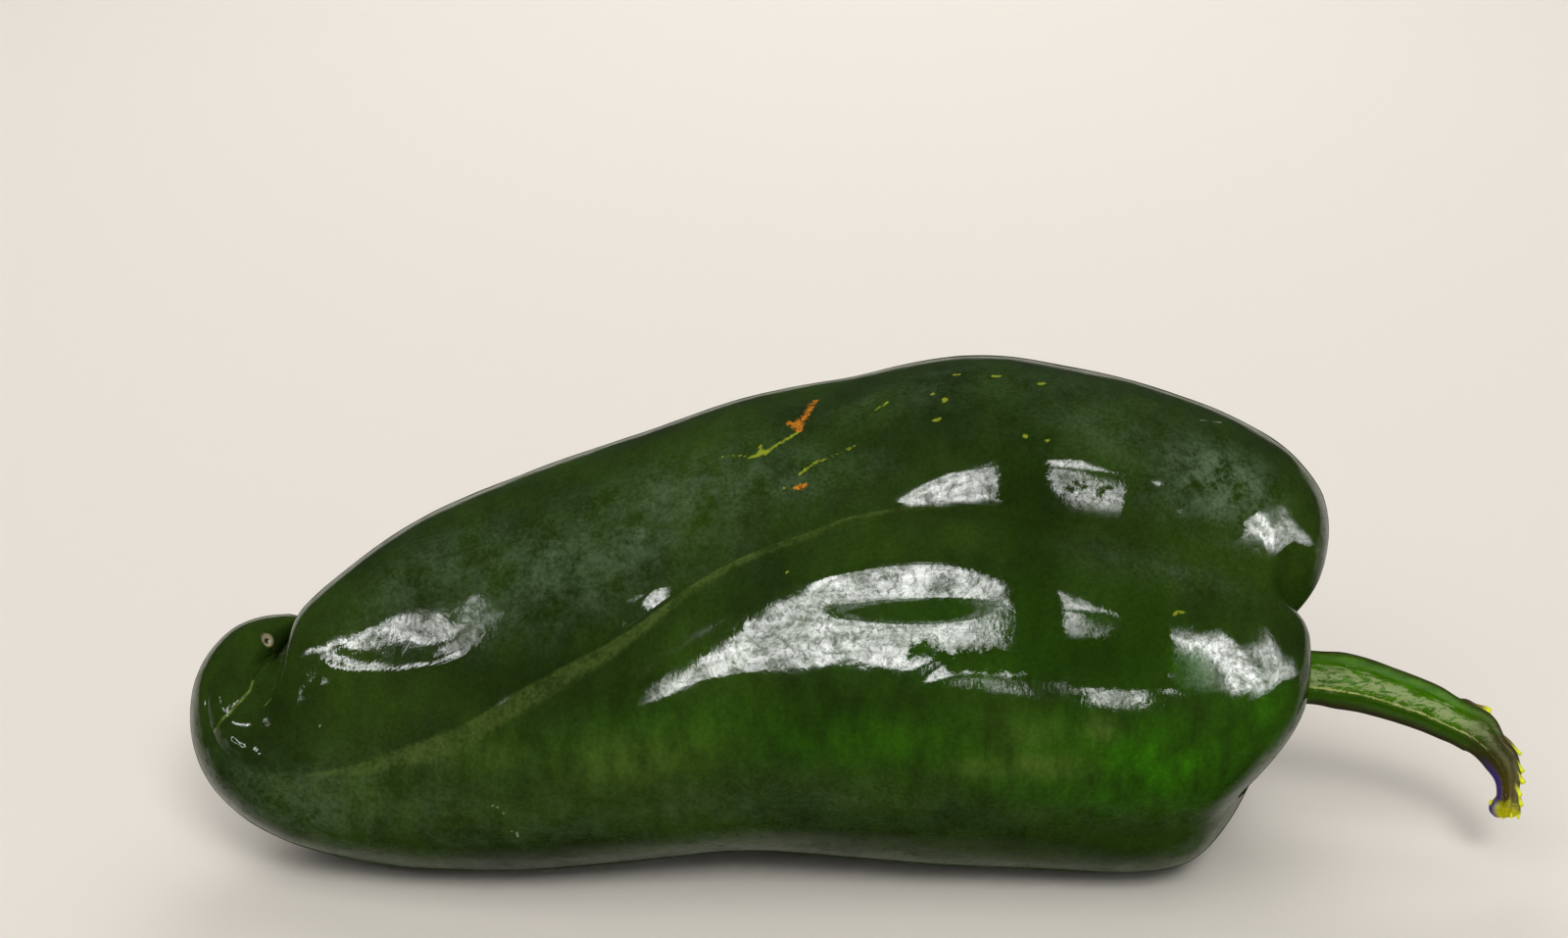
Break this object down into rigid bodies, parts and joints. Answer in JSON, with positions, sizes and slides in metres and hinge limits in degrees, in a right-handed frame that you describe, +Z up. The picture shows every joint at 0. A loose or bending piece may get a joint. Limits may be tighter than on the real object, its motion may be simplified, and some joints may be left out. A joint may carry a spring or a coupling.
{
  "type": "poblano pepper",
  "caption": "Dark green poblano pepper lying on its side, with furrowed lobes, a hooked blunt tip and a bent stem rising from a sunken calyx.",
  "frame": {"origin": "on the table, under the middle of the whole pepper with its stem", "axes": "+X along the fruit from its tip toward its stem, +Y toward the back, away from the side with the long bent furrow, +Z up"},
  "size_m": [0.1581, 0.0546, 0.0597],
  "materials": {
    "pod_skin": "smooth, waxy and shiny, very dark green",
    "stem_skin": "ridged, slightly waxy, mid green with a yellow torn end"
  },
  "bodies": {
    "root": {"pod": "pod_skin", "stem_and_calyx": "stem_skin"}
  },
  "joints": []
}
